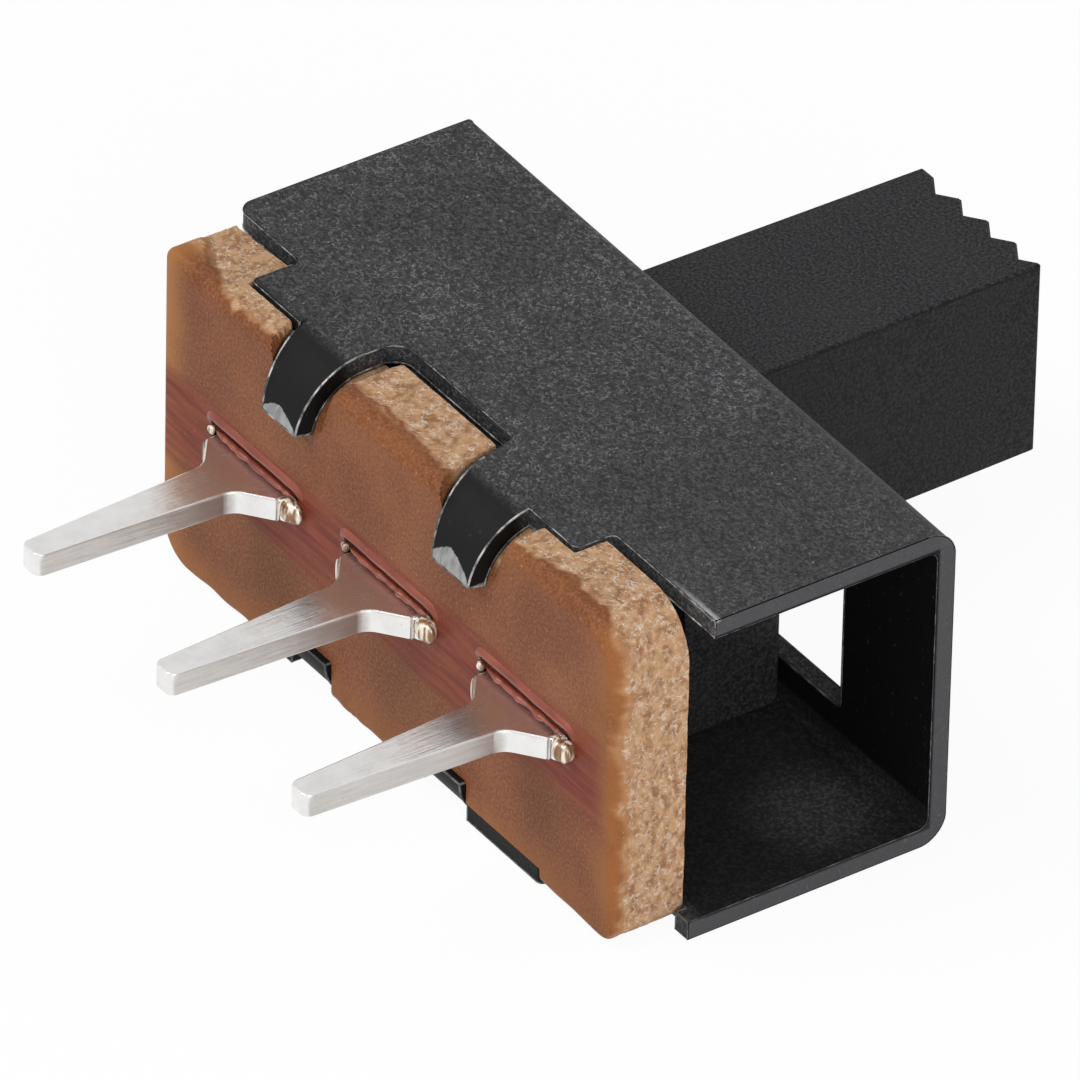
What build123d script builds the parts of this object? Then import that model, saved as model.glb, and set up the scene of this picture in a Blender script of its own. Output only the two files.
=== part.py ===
from build123d import *
import math
import os

# Slide switch with a folded cover, a punched terminal board, three pins and a sliding knob.
# Lengths are millimetres. The switch lies on one side wall: +X runs along the slide,
# +Y towards the knob, -Y towards the pins and +Z up. The origin is the middle of the
# lower side wall's outer face.

# Cover, folded from one steel sheet
cover_length = 12.7
cover_width = 5.72
sheet = 0.32
bend_near_radius = 0.18
bend_far_radius = 0.02
bend_far_outer_radius = 0.14
seat_depth = 4.5
upper_end_gap = 0.16
lower_lip = 0.18
lip_clearance = 0.06
notch_gap = 0.29
slot_corner_radius = 0.12
ear_corner_radius = 0.12
notch_far_radius = 0.36
notch_near_radius = 0.1
notch_radius_share = 0.4
far_corner_radius = 0.3

# Ears and tabs along each side wall: inset of the ear from the cover's end, width of the
# ear with its tab, width of the tab at its root, how much it narrows to its tip, and how
# far the ear reaches past the board's back
upper_far_inset = 1.75
upper_far_ear = 2.52
upper_far_tab = 1.23
upper_far_taper = 0.36
upper_far_overlap = 0.72
upper_near_inset = 2.62
upper_near_ear = 2.8
upper_near_tab = 1.58
upper_near_taper = 0.64
upper_near_overlap = 0.53
lower_far_inset = 2.95
lower_far_ear = 1.9
lower_far_tab = 1.15
lower_far_taper = 0.12
lower_far_overlap = 1.22
lower_near_inset = 2.3
lower_near_ear = 3.05
lower_near_tab = 1.1
lower_near_taper = 0.12
lower_near_overlap = 1.25

# Fold of the tabs: inner radius, angle, and the gap from the board's front to the
# tab's inner face, which is sunk into the board on the lower wall
upper_fold_radius = 0.98
upper_fold_angle = 79
upper_fold_gap = 0.02
lower_fold_radius = 0.4
lower_fold_angle = 90
lower_fold_sink = 0.22

# Terminal board, punched from phenolic paper
board_thickness = 1.3
board_far_inset = 0.23
board_near_inset = 0.39
board_side_inset = 0.03
board_rollover = 0.2
recess_clearance = 0.03
board_near_top_radius = 1.0
board_far_bottom_radius = 0.7
slot_end_clearance = 0.05
blade_slot_low_gap = 0.03
blade_slot_top_gap = 0.15

# Terminals, blanked from tinned brass
terminal_pitch = 3.6
terminal_row_shift = 0.0
terminal_row_lift = 0.09
terminal_thickness = 0.4
blade_half_width = 1.12
inner_half_width = 0.8
blade_reach = 1.05
blade_corner_radius = 0.25
swage_half_width = 1.32
swage_length = 0.22
shoulder_half_width = 0.95
shoulder_standoff = 0.25
shoulder_rise = 0.42
pin_root_half_width = 0.41
pin_tip_half_width = 0.23
pin_length = 4.07
pin_root_radius = 0.35
pin_tip_radius = 0.16
stake_radius = 0.2
stake_height = 0.36

# Slider with its knob, moulded as one
slide_clearance = 0.06
slider_gap = 0.12
knob_clearance = 0.1
knob_side_clearance = 0.03
knob_root_width = 3.3
knob_taper = 0.1
knob_height = 3.48
knob_reach = 5.95
knob_rest_shift = -1.32
knob_edge_chamfer = 0.04
grooves = 4
groove_pitch = 0.7
groove_depth = 0.25
groove_near_share = 0.46
end_slant = 0.07
crest_radius = 0.05
base_overhang = 2.24
base_edge_radius = 0.15
channel_depth = 2.2

# Contact clip, folded from spring strip
clip_strip = 0.14
clip_length = 3.2
clip_depth = 1.82
clip_back_half_height = 0.55
clip_mouth_half_height = 0.42
clip_pinch_depth = 1.52
clip_pinch_clearance = 0.03
clip_bend_radius = 0.1
clip_seat_clearance = 0.03

# How far a cutting tool passes through what it cuts
overrun = 1.0

# Places that follow from the sizes above
half_length = cover_length / 2
mid_z = cover_width / 2
blade_z = mid_z + terminal_row_lift
bend_near_outer_radius = bend_near_radius + sheet
web_y = seat_depth / 2
web_inner_y = web_y - sheet
fold_y = web_y - 2 * bend_near_outer_radius
board_back_y = web_y - seat_depth
board_front_y = board_back_y - board_thickness
board_far_x = -half_length + board_far_inset
board_near_x = half_length - board_near_inset
notch_y = board_back_y + notch_gap
wall_inner_z = cover_width - sheet
base_top_y = web_inner_y - slider_gap
base_bottom_y = board_back_y + slider_gap
channel_floor_y = base_bottom_y + channel_depth
clip_half_height = clip_back_half_height + clip_strip / 2
travel = terminal_pitch

UPPER = {
    "far_ear": -half_length + upper_far_inset,
    "far_tab": -half_length + upper_far_inset + upper_far_ear - upper_far_tab,
    "far_notch": -half_length + upper_far_inset + upper_far_ear,
    "near_notch": half_length - upper_near_inset - upper_near_ear,
    "near_tab": half_length - upper_near_inset - upper_near_ear + upper_near_tab,
    "near_ear": half_length - upper_near_inset,
    "far_taper": upper_far_taper,
    "near_taper": upper_near_taper,
    "far_ear_y": board_back_y - upper_far_overlap,
    "near_ear_y": board_back_y - upper_near_overlap,
    "end_y": board_back_y + upper_end_gap,
    "lip_y": board_back_y + upper_end_gap,
    "fold_radius": upper_fold_radius,
    "fold_angle": upper_fold_angle,
    "fold_y": board_front_y - upper_fold_gap + upper_fold_radius,
    "pocket_wall": True,
}
LOWER = {
    "far_ear": -half_length + lower_far_inset,
    "far_tab": -half_length + lower_far_inset + lower_far_ear - lower_far_tab,
    "far_notch": -half_length + lower_far_inset + lower_far_ear,
    "near_notch": half_length - lower_near_inset - lower_near_ear,
    "near_tab": half_length - lower_near_inset - lower_near_ear + lower_near_tab,
    "near_ear": half_length - lower_near_inset,
    "far_taper": lower_far_taper,
    "near_taper": lower_near_taper,
    "far_ear_y": board_back_y - lower_far_overlap,
    "near_ear_y": board_back_y - lower_near_overlap,
    "end_y": board_back_y,
    "lip_y": board_back_y - lower_lip,
    "fold_radius": lower_fold_radius,
    "fold_angle": lower_fold_angle,
    "fold_y": board_front_y + lower_fold_sink + lower_fold_radius,
    "pocket_wall": False,
}


def outline(*points):
    """Closed flat outline through the points, facing up whichever way round they run."""
    flat = Polygon(*points)
    return flat if flat.face().normal_at().Z > 0 else Polygon(*reversed(points))


def rounded(flat, corners, radius):
    """The outline with the corners nearest the given points rounded."""
    picked = [flat.vertices().sort_by_distance(corner)[0] for corner in corners]
    return fillet(picked, radius)


def along_x(section, start, end):
    """Section drawn in Y and Z, carried along X from start to end."""
    return extrude(Plane.YZ.offset(start) * section, amount=end - start)


def tab_lean(row, lean_y, taper):
    """How fast a tab's far side leans in from lean_y, to narrow the tab by taper at its tip."""
    outer = row["fold_radius"] + sheet
    turn = math.radians(row["fold_angle"])
    return taper / (lean_y - row["fold_y"] + outer * (1 + math.sin(turn) - math.cos(turn)))


def leaning(block, start, lean_y, lean):
    """The block without what lies beyond a tab's far side, which leans in from start at lean_y."""
    far_side = Plane((start, lean_y, cover_width), z_dir=(1, lean, lean))
    return split(block, bisect_by=far_side, keep=Keep.TOP)


def folded_tab(row, start, end):
    """Tab of full width bent down over the board's front."""
    outer = row["fold_radius"] + sheet
    reach = 2 * outer
    turn = math.radians(row["fold_angle"])
    stop = (-reach * math.sin(turn), reach * math.cos(turn))
    wedge = outline((0, 0), (0, reach), (-reach, reach), stop)
    section = (Circle(outer) - Circle(row["fold_radius"])) & wedge
    return along_x(Pos(row["fold_y"], cover_width - outer) * section, start, end)


for row in (UPPER, LOWER):
    row["far_lean"] = tab_lean(row, row["far_ear_y"], row["far_taper"])
    row["near_lean"] = tab_lean(row, notch_y, row["near_taper"])


def side_wall(row):
    """Upper side wall from the bend to its ears, with the two folded tabs."""
    lip_x = board_near_x + lip_clearance
    far_tab = folded_tab(row, row["far_tab"], row["far_notch"])
    far_tab = leaning(far_tab, row["far_tab"], row["far_ear_y"], row["far_lean"])
    near_tab = folded_tab(row, row["near_notch"], row["near_tab"])
    near_tab = leaning(near_tab, row["near_notch"], notch_y, row["near_lean"])
    far_step = (row["far_ear"], row["end_y"])
    near_step = (row["near_ear"], row["end_y"])
    far_ear = (row["far_ear"], row["far_ear_y"])
    near_ear = (row["near_ear"], row["near_ear_y"])
    far_notch = (row["far_notch"], notch_y)
    near_notch = (row["near_notch"], notch_y)
    flat = outline(
        (-half_length, fold_y),
        (-half_length, row["end_y"]),
        far_step,
        far_ear,
        (row["far_tab"], row["far_ear_y"]),
        (row["far_tab"], row["fold_y"]),
        (row["far_notch"], row["fold_y"]),
        far_notch,
        near_notch,
        (row["near_notch"] + row["near_lean"] * (notch_y - row["fold_y"]), row["fold_y"]),
        (row["near_tab"], row["fold_y"]),
        (row["near_tab"], row["near_ear_y"]),
        near_ear,
        near_step,
        (lip_x, row["end_y"]),
        (lip_x, row["lip_y"]),
        (half_length, row["lip_y"]),
        (half_length, fold_y),
    )
    flat = rounded(flat, [far_step, near_step, far_ear, near_ear], ear_corner_radius)
    widest_round = notch_radius_share * (row["near_notch"] - row["far_notch"])
    flat = rounded(flat, [far_notch], min(notch_far_radius, widest_round))
    flat = rounded(flat, [near_notch], min(notch_near_radius, widest_round))
    flat = rounded(flat, [(-half_length, row["end_y"])], far_corner_radius)
    return extrude(Pos(0, 0, wall_inner_z) * flat, amount=sheet) + far_tab + near_tab


def corner(x, radius, reach):
    """What a round of this radius leaves out of a square corner at Y and Z of 0, in the plane at x."""
    round_off = Rectangle(radius + reach, radius + reach, align=(Align.MIN, Align.MIN)) - Circle(radius)
    return Plane.YZ.offset(x) * Pos(-radius, -radius) * round_off


def web():
    """Front web with the two long bends, tighter at the far end, and the slot that the knob slides in."""
    outer = outline((fold_y, 0), (web_y, 0), (web_y, cover_width), (fold_y, cover_width))
    inner = outline(
        (fold_y, sheet), (web_inner_y, sheet), (web_inner_y, wall_inner_z), (fold_y, wall_inner_z)
    )
    channel = along_x(outer - inner, -half_length, half_length)
    bend = loft([
        corner(-half_length, bend_far_outer_radius, overrun),
        corner(half_length, bend_near_outer_radius, overrun),
    ])
    root = loft([corner(-half_length, bend_far_radius, 0), corner(half_length, bend_near_radius, 0)])
    upper_bend = Pos(0, web_y, cover_width) * bend
    upper_root = Pos(0, web_inner_y, wall_inner_z) * root
    middle = Plane.XY.offset(mid_z)
    channel -= upper_bend
    channel -= mirror(upper_bend, about=middle)
    channel += upper_root
    channel += mirror(upper_root, about=middle)
    slot_length = knob_root_width + travel + 2 * knob_clearance
    slot_height = knob_height + 2 * knob_side_clearance
    slot = RectangleRounded(slot_length, slot_height, slot_corner_radius)
    slot = Pos(knob_rest_shift + travel / 2, mid_z) * slot
    cutter = extrude(Plane.XZ.offset(-web_y - overrun) * slot, amount=sheet + 2 * overrun)
    return channel - cutter


def cover():
    """Folded cover: the web, and two side walls that clench the board with four tabs."""
    lower = mirror(side_wall(LOWER), about=Plane.XY.offset(mid_z))
    return web() + side_wall(UPPER) + lower


def tab_room(row):
    """What lies outside a tab's inner face, in Y and Z, which the board leaves free for it."""
    back = board_back_y + overrun
    front = board_front_y - overrun
    radius = row["fold_radius"] - recess_clearance
    centre_z = wall_inner_z - row["fold_radius"]
    low_z = centre_z - recess_clearance
    high_z = cover_width + overrun
    face_y = row["fold_y"] - radius
    room = outline((front, low_z), (back, low_z), (back, high_z), (front, high_z))
    room -= Pos(row["fold_y"], centre_z) * Circle(radius)
    room -= outline((face_y, low_z), (back, low_z), (back, centre_z), (face_y, centre_z))
    floor_z = centre_z + radius
    return room - outline((row["fold_y"], low_z), (back, low_z), (back, floor_z), (row["fold_y"], floor_z))


def ear_room(row, ear_y):
    """Pocket for an ear, in Y and Z, with a wall left before it where the row keeps one."""
    back = board_back_y + overrun
    front = ear_y - recess_clearance if row["pocket_wall"] else board_front_y - overrun
    floor_z = wall_inner_z - recess_clearance
    high_z = cover_width + overrun
    return outline((front, floor_z), (back, floor_z), (back, high_z), (front, high_z))


def recess(row):
    """The edge recesses of the board that clear the upper wall's ears and tabs."""
    gap = recess_clearance
    far_start = row["far_tab"] - gap
    near_start = row["near_notch"] - gap
    far_room = along_x(tab_room(row), far_start, row["far_notch"] + gap)
    near_room = along_x(tab_room(row), near_start, row["near_tab"] + gap)
    room = leaning(far_room, far_start, row["far_ear_y"], row["far_lean"])
    room += leaning(near_room, near_start, notch_y, row["near_lean"])
    room += along_x(ear_room(row, row["far_ear_y"]), row["far_ear"] - gap, row["far_tab"])
    room += along_x(ear_room(row, row["near_ear_y"]), row["near_tab"], row["near_ear"] + gap)
    return room


def terminal_places():
    """Middle of each terminal along the slide, from the far one to the near one."""
    return [terminal_row_shift + step * terminal_pitch for step in (-1, 0, 1)]


def terminal_board():
    """Punched board: its front edge rolled over, with recesses for the tabs and a slot for each blade."""
    low_z = board_side_inset
    high_z = cover_width - board_side_inset
    plan = outline(
        (board_far_x, low_z), (board_near_x, low_z), (board_near_x, high_z), (board_far_x, high_z)
    )
    plan = rounded(plan, [(board_near_x, high_z)], board_near_top_radius)
    plan = rounded(plan, [(board_far_x, low_z)], board_far_bottom_radius)
    board = extrude(Plane.XZ.offset(-board_back_y) * plan, amount=board_thickness)
    board = fillet(board.faces().sort_by(Axis.Y)[0].edges(), board_rollover)
    slot_length = 2 * (blade_half_width + slot_end_clearance)
    slot_height = blade_slot_low_gap + terminal_thickness + blade_slot_top_gap
    slot_z = blade_z + (blade_slot_top_gap - blade_slot_low_gap) / 2
    slot = Plane.XZ.offset(-board_back_y - overrun) * Rectangle(slot_length, slot_height)
    for place in terminal_places():
        board -= Pos(place, 0, slot_z) * extrude(slot, amount=board_thickness + 2 * overrun)
    lower = mirror(recess(LOWER), about=Plane.XY.offset(mid_z))
    return board - recess(UPPER) - lower


def terminal(place):
    """Blade through the board, shouldered at its front and staked at one side, tapering to a pin."""
    shoulder_y = board_front_y - shoulder_standoff
    root_y = shoulder_y - shoulder_rise
    tip_y = board_front_y - pin_length
    inner_y = board_back_y + blade_reach
    swage_y = board_back_y + swage_length
    half = [
        (inner_half_width, inner_y),
        (inner_half_width, swage_y),
        (swage_half_width, swage_y),
        (swage_half_width, board_back_y),
        (blade_half_width, board_back_y),
        (blade_half_width, board_front_y),
        (shoulder_half_width, board_front_y),
        (shoulder_half_width, shoulder_y),
        (pin_root_half_width, root_y),
        (pin_tip_half_width, tip_y),
    ]
    other = [(-x, y) for x, y in reversed(half)]
    flat = outline(*half, *other)
    flat = rounded(flat, [half[0], other[-1]], blade_corner_radius)
    flat = rounded(flat, [half[-2], other[1]], pin_root_radius)
    flat = rounded(flat, [half[-1], other[0]], pin_tip_radius)
    body = extrude(Pos(place, 0, blade_z - terminal_thickness / 2) * flat, amount=terminal_thickness)
    stake = Circle(stake_radius) & Rectangle(2 * stake_radius, stake_radius, align=(Align.CENTER, Align.MAX))
    seat = Pos(place + shoulder_half_width, board_front_y, blade_z - stake_height / 2)
    return body + extrude(seat * stake, amount=stake_height)


def knob():
    """Knob with a grooved end face, tapering slightly to its end."""
    root = knob_root_width / 2
    tip = root - knob_taper
    tip_y = web_y + knob_reach
    teeth = []
    for groove in range(grooves):
        crest = tip - groove * groove_pitch
        crest_y = tip_y + end_slant * (grooves - groove) / grooves
        teeth.append((crest, crest_y))
        teeth.append((crest - groove_near_share * groove_pitch, crest_y - groove_depth))
    teeth.append((tip - grooves * groove_pitch, tip_y))
    far_tip = (-tip, tip_y)
    flat = outline((-root, base_top_y), (root, base_top_y), *teeth, far_tip)
    flat = rounded(flat, [*teeth, far_tip], crest_radius)
    block = extrude(Pos(knob_rest_shift, 0, mid_z - knob_height / 2) * flat, amount=knob_height)
    sides = block.faces().filter_by(Axis.Z)
    near_x = block.bounding_box().max.X
    long_edges = [edge for face in sides for edge in face.edges() if edge.center().X > near_x - knob_taper]
    return chamfer(long_edges, knob_edge_chamfer)


def slider():
    """Moulded slider: the base in the cover's channel, with its knob through the slot."""
    low_z = sheet + slide_clearance
    high_z = cover_width - low_z
    channel_half = clip_half_height + clip_seat_clearance
    section = outline(
        (base_bottom_y, low_z),
        (base_top_y, low_z),
        (base_top_y, high_z),
        (base_bottom_y, high_z),
        (base_bottom_y, blade_z + channel_half),
        (channel_floor_y, blade_z + channel_half),
        (channel_floor_y, blade_z - channel_half),
        (base_bottom_y, blade_z - channel_half),
    )
    section = rounded(section, [(base_top_y, low_z), (base_top_y, high_z)], bend_near_radius)
    section = rounded(section, [(base_bottom_y, low_z), (base_bottom_y, high_z)], base_edge_radius)
    half_base = knob_root_width / 2 + base_overhang
    base = along_x(section, knob_rest_shift - half_base, knob_rest_shift + half_base)
    return base + knob()


def contact_clip():
    """Spring clip whose two leaves pinch the edges of two neighbouring blades."""
    back_y = channel_floor_y - clip_strip / 2
    mouth_y = channel_floor_y - clip_depth
    pinch_y = channel_floor_y - clip_pinch_depth
    pinch = terminal_thickness / 2 + clip_pinch_clearance + clip_strip / 2
    upper = [(mouth_y, clip_mouth_half_height), (pinch_y, pinch), (back_y, clip_back_half_height)]
    lower = [(y, -z) for y, z in reversed(upper)]
    line = FilletPolyline(*upper, *lower, radius=clip_bend_radius)
    strip = Pos(0, blade_z) * trace(line, clip_strip)
    middle = terminal_row_shift - terminal_pitch / 2
    return along_x(strip, middle - clip_length / 2, middle + clip_length / 2)


os.makedirs("parts", exist_ok=True)
nodes = {
    "cover": cover(),
    "terminal_board": terminal_board(),
    "slider": slider(),
    "contact_clip": contact_clip(),
}
for name, place in zip(("far", "middle", "near"), terminal_places()):
    nodes["terminal_" + name] = terminal(place)
for name, solid in nodes.items():
    solid.label = name
    export_step(solid, f"parts/{name}.step")
    box = solid.bounding_box()
    print(name, round(solid.volume, 3), [round(v, 3) for v in (*box.min, *box.max)])
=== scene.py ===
# %% [markdown]
# # A slide switch, dressed for its portrait
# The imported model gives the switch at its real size: a folded cover, a terminal board,
# three pins, a slider with its knob and a hidden contact clip. This lesson keeps those
# pieces where they are and gives each one its finish.

import math

import bmesh
import bpy
import numpy as np
from mathutils import Matrix, Vector
from mathutils.geometry import delaunay_2d_cdt


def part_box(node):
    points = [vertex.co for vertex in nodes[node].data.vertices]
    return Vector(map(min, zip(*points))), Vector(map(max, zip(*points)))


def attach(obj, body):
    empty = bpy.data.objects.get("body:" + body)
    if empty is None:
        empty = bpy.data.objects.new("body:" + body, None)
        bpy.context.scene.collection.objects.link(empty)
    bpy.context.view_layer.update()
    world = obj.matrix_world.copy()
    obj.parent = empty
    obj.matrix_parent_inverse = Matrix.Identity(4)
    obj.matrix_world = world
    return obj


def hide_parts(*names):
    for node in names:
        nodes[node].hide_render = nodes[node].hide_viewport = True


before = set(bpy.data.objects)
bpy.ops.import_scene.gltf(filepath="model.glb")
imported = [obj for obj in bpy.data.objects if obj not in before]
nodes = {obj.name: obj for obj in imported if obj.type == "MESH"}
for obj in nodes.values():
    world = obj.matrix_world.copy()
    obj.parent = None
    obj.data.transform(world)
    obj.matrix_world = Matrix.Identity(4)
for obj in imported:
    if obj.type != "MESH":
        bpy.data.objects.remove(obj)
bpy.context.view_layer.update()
MM = 0.001
print("nodes", sorted(nodes))

# %% [markdown]
# ## The camera
# The photograph was taken through a long lens from above the pins' side, so the edges hardly
# converge. A camera is a few plain numbers here: the point it looks at, its azimuth and
# elevation, a small roll, its distance and its lens. They are easier to read and to
# change than a matrix.

# %% Camera
scene = bpy.context.scene
AIM = Vector((-0.302, -0.589, 2.571)) * MM
AZIMUTH, ELEVATION, ROLL = 54.80, 35.77, 1.33
DISTANCE = 300.48 * MM
LENS, SENSOR = 666.67, 36.0


def look(aim, azimuth, elevation, roll, distance):
    """Camera placement: the back axis points from the aim to the camera, and roll turns about it."""
    turn, rise = math.radians(azimuth), math.radians(elevation)
    back = Vector((math.sin(turn) * math.cos(rise), -math.cos(turn) * math.cos(rise), math.sin(rise)))
    right = Vector((0, 0, 1)).cross(back).normalized()
    up = back.cross(right)
    axes = Matrix((right, up, back)).transposed() @ Matrix.Rotation(math.radians(roll), 3, "Z")
    return Matrix.Translation(aim + back * distance) @ axes.to_4x4()


lens = bpy.data.cameras.new("portrait_lens")
lens.lens, lens.sensor_width = LENS, SENSOR
lens.clip_start, lens.clip_end = 0.01, 10.0
camera = bpy.data.objects.new("portrait_camera", lens)
camera.matrix_world = look(AIM, AZIMUTH, ELEVATION, ROLL, DISTANCE)
scene.collection.objects.link(camera)
scene.camera = camera
print("camera at mm", [round(v / MM, 1) for v in camera.location])

# %% [markdown]
# ## Shader maths as Python
# A finish is a small formula: noise plus noise, a mask times a colour. Writing it with
# Python's own operators keeps it readable. `Value` wraps one socket, and each operator
# adds one Math node. Everything else goes through `Nodes.node`, which takes the node's
# type, its settings and what goes into its sockets. `Finish` is a material built that way.

# %% Values and finishes
class Value:
    """One number over the surface: an output socket with Python's operators."""

    def __init__(self, maker, socket):
        self.maker, self.socket = maker, socket

    def math(self, operation, *others):
        """One Math node of this value and the others."""
        settings = {"operation": operation}
        return self.maker.node("ShaderNodeMath", settings, dict(enumerate((self, *others))))

    def __add__(self, other):
        return self.math("ADD", other)

    def __sub__(self, other):
        return self.math("SUBTRACT", other)

    def __mul__(self, other):
        return self.math("MULTIPLY", other)

    def __truediv__(self, other):
        return self.math("DIVIDE", other)

    def __rsub__(self, other):
        return self.maker.node("ShaderNodeMath", {"operation": "SUBTRACT"}, {0: other, 1: self})

    __radd__, __rmul__ = __add__, __mul__

    def step(self, low, high):
        """0 below low, 1 above high, and a smooth rise between them."""
        inputs = {"Value": self, "From Min": low, "From Max": high}
        return self.maker.node("ShaderNodeMapRange", {"interpolation_type": "SMOOTHSTEP"}, inputs)


class Nodes:
    """A node tree with one way to add a node and one way to fill a socket."""

    def __init__(self, tree):
        self.tree = tree

    def node(self, kind, settings=None, inputs=None, output=0):
        """Adds a node: its type, its settings, and the values or links of its sockets."""
        made = self.tree.nodes.new(kind)
        for key, value in (settings or {}).items():
            setattr(made, key, value)
        for key, value in (inputs or {}).items():
            self.feed(made.inputs[key], value)
        return Value(self, made.outputs[output])

    def feed(self, socket, value):
        """Links a Value to a socket, or sets the socket to a plain number, vector or colour."""
        if isinstance(value, Value):
            self.tree.links.new(value.socket, socket)
        elif isinstance(value, tuple) and len(value) == 3 and socket.type == "RGBA":
            socket.default_value = (*value, 1.0)
        else:
            socket.default_value = value


class Finish(Nodes):
    """A material around one Principled shader, with the helpers that finishes share."""

    def __init__(self, name):
        self.material = bpy.data.materials.new(name)
        self.material.use_nodes = True
        super().__init__(self.material.node_tree)
        self.shader = self.tree.nodes["Principled BSDF"]

    def place(self):
        """Object coordinates in metres, which are the switch's own frame."""
        return self.node("ShaderNodeTexCoord", output="Object")

    def along(self, axis):
        """One coordinate of the surface point, in millimetres."""
        split = self.node("ShaderNodeSeparateXYZ", {}, {0: self.place()}, output=axis)
        return split * (1 / MM)

    def facing(self, axis):
        """One part of the direction that the surface faces."""
        normal = self.node("ShaderNodeNewGeometry", output="Normal")
        return self.node("ShaderNodeSeparateXYZ", {}, {0: normal}, output=axis)

    def noise(self, grain, detail=3.0, stretch=(1.0, 1.0, 1.0), roughness=0.55):
        """Cloudy noise with features of about grain millimetres, stretched along the axes."""
        scale = tuple(1 / (grain * MM * part) for part in stretch)
        where = self.node("ShaderNodeVectorMath", {"operation": "MULTIPLY"}, {0: self.place(), 1: scale})
        inputs = {"Vector": where, "Scale": 1.0, "Detail": detail, "Roughness": roughness}
        return self.node("ShaderNodeTexNoise", {}, inputs)

    def mix(self, share, first, second):
        """The first colour where share is 0, the second where it is 1."""
        settings = {"data_type": "RGBA", "clamp_factor": True}
        return self.node("ShaderNodeMix", settings, {"Factor": share, 6: first, 7: second}, output=2)

    def bump(self, height, depth):
        """Surface relief of the height field, depth millimetres deep."""
        inputs = {"Height": height, "Strength": 1.0, "Distance": depth * MM}
        return self.node("ShaderNodeBump", {}, inputs)

    def shade(self, **inputs):
        """Feeds the Principled shader, with underscores for the spaces in its sockets' names."""
        for key, value in inputs.items():
            self.feed(self.shader.inputs[key.replace("_", " ")], value)
        return self.material


def dress(material, *names):
    """Gives the material to CAD nodes by name."""
    for name in names:
        mesh = nodes[name].data
        mesh.materials.clear()
        mesh.materials.append(material)
    print("finish", material.name, "on", names)


# %% [markdown]
# ## The terminal board, piece by piece
# The board is punched from resin-bound paper. The punch rolls the smooth front skin over its
# edge, then tears the rest, so the rim is smooth in front and fibrous behind. A box with a
# bump map would keep a straight edge, so the rim here is a real surface: one direction walks
# round the outline, the other goes from the front face to the back, and a formula says how
# far each point sinks in. First comes the walk.

# %% Walk round the board
board_box = [[value / MM for value in corner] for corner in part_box("terminal_board")]
(FAR, FRONT, LOW), (NEAR, BACK, HIGH) = board_box
# Rounds of the corners: far top, near top, near bottom, far bottom
CORNER_ROUNDS = np.array([0.20, 1.0, 0.34, 0.7])
STEP = 0.045
EDGE = 0.003
ROLL_DEPTH = 0.3


def rounded_walk(low, high, rounds, step, marks):
    """Closed walk round an upright rectangle, clockwise from its far top corner.

    Each corner is a quarter circle: its centre plus its radius times the cosine and sine of an
    angle. Each side is a straight run with extra stops just before and after its marks. Gives
    the places and the outward directions, in X and Z.
    """
    (x0, z0), (x1, z1) = low, high
    corners = np.array([(x0, z1), (x1, z1), (x1, z0), (x0, z0)])
    centres = corners + np.array([(1, -1), (-1, -1), (-1, 1), (1, 1)]) * rounds[:, None]
    places, outward = [], []
    for k, start_angle in enumerate((180, 90, 0, -90)):
        angle = np.radians(start_angle - np.linspace(0, 90, max(int(rounds[k] * 1.6 / step), 5)))
        normal = np.stack([np.cos(angle), np.sin(angle)], axis=1)
        places.append(centres[k] + rounds[k] * normal)
        outward.append(normal)
        begin = places[-1][-1]
        end = centres[(k + 1) % 4] + rounds[(k + 1) % 4] * normal[-1]
        length = np.linalg.norm(end - begin)
        stops = np.linspace(0, length, int(length / step) + 1)[1:-1]
        extra = np.abs(np.array(marks.get(k, [])) - begin[0])
        stops = np.unique(np.concatenate([stops, extra - EDGE, extra + EDGE]))
        places.append(begin + (end - begin) / length * stops[:, None])
        outward.append(np.repeat(normal[-1:], len(stops), axis=0))
    return np.concatenate(places), np.concatenate(outward)


# Tab slots: first and last X, where the far side starts to lean, and how fast it leans
TOP_SLOTS = [(-3.34, -2.05, -2.97, 0.185), (0.90, 2.54, -1.96, 0.216)]
LOW_SLOTS = [(-2.68, -1.47, -3.47, 0.133), (0.97, 2.13, -1.96, 0.05)]
# Ear pockets: first and last X, and the Y where the pocket stops
TOP_POCKETS = [(-4.63, -3.31, -3.00), (2.51, 3.76, -2.81)]
LOW_POCKETS = [(-3.43, -2.65, -9.0), (2.10, 4.08, -9.0)]
# Nose of the board under the tabs: the fold's centre in Y, its radius, and its centre's depth
TOP_NOSE = (-2.59, 0.95, 1.27)
LOW_NOSE = (-2.93, 0.37, 0.69)
POCKET_DEPTH = 0.32

marks = {
    0: [edge for slot in TOP_SLOTS + TOP_POCKETS for edge in slot[:2]],
    2: [edge for slot in LOW_SLOTS + LOW_POCKETS for edge in slot[:2]],
}
walk, outward = rounded_walk((FAR, LOW), (NEAR, HIGH), CORNER_ROUNDS, STEP, marks)
front_depths = ROLL_DEPTH * (1 - np.cos(np.linspace(0, math.pi / 2, 12)))
depths = np.concatenate([front_depths, np.linspace(ROLL_DEPTH, BACK - FRONT, 32)[1:]])
print("walk", walk.shape, "depths", depths.shape)

# %% [markdown]
# ## Noise for torn fibres
# Torn paper needs random hills of several sizes. Value noise is the simplest kind: random
# numbers on a lattice, blended smoothly between the lattice points. The lattice wraps round,
# so the walk closes without a seam.

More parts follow.
